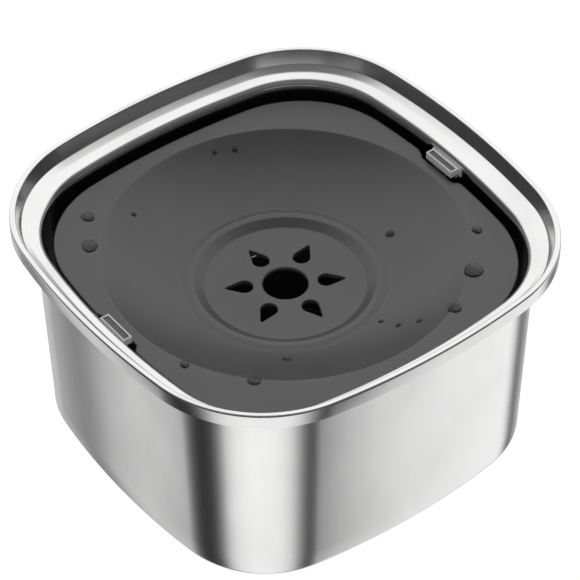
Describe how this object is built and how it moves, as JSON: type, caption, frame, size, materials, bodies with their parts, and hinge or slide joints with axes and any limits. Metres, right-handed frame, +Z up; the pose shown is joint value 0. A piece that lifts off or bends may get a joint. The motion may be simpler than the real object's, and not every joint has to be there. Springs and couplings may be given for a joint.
{
  "type": "pet water bowl",
  "caption": "Stainless steel no-spill pet water bowl with a floating plastic plate, a dish with drinking holes and sliding locks.",
  "frame": {"origin": "middle of the bowl in plan, on the surface that the foot pads stand on", "axes": "+Z up, Y from the front lock to the rear lock, X along the two sides without a lock"},
  "size_m": [0.24, 0.24, 0.1292],
  "materials": {
    "steel": "polished sheet steel with a faint satin grain",
    "screw_steel": "plain stainless screws",
    "dark_plastic": "dark grey moulded plastic, satin",
    "light_plastic": "light grey moulded plastic, satin",
    "pad_rubber": "matte silicone rubber",
    "seal_rubber": "matte silicone rubber"
  },
  "bodies": {
    "bowl": {"bowl_shell": "steel", "rim_ring": "steel", "foot_front_left": "pad_rubber", "foot_front_right": "pad_rubber", "foot_rear_left": "pad_rubber", "foot_rear_right": "pad_rubber", "lock_bracket_front": "steel", "lock_bracket_rear": "steel"},
    "float": {"float_plate": "dark_plastic", "float_cover": "dark_plastic", "rim_seal": "seal_rubber", "hub_seal": "seal_rubber", "cover_screws": "screw_steel"},
    "lock_front": {"lock_slider_front": "light_plastic", "lock_pad_front": "dark_plastic"},
    "lock_rear": {"lock_slider_rear": "light_plastic", "lock_pad_rear": "dark_plastic"}
  },
  "joints": [
    {"name": "float_level", "type": "slide", "parent": "bowl", "child": "float", "axis": [0, 0, 1], "range_m": [-0.076, 0], "stiffness_N_per_m": 37, "springref_m": 0.0676},
    {"name": "lock_slide_front", "type": "slide", "parent": "bowl", "child": "lock_front", "axis": [0, 1, 0], "range_m": [0, 0.0034]},
    {"name": "lock_slide_rear", "type": "slide", "parent": "bowl", "child": "lock_rear", "axis": [0, -1, 0], "range_m": [0, 0.0034]}
  ]
}
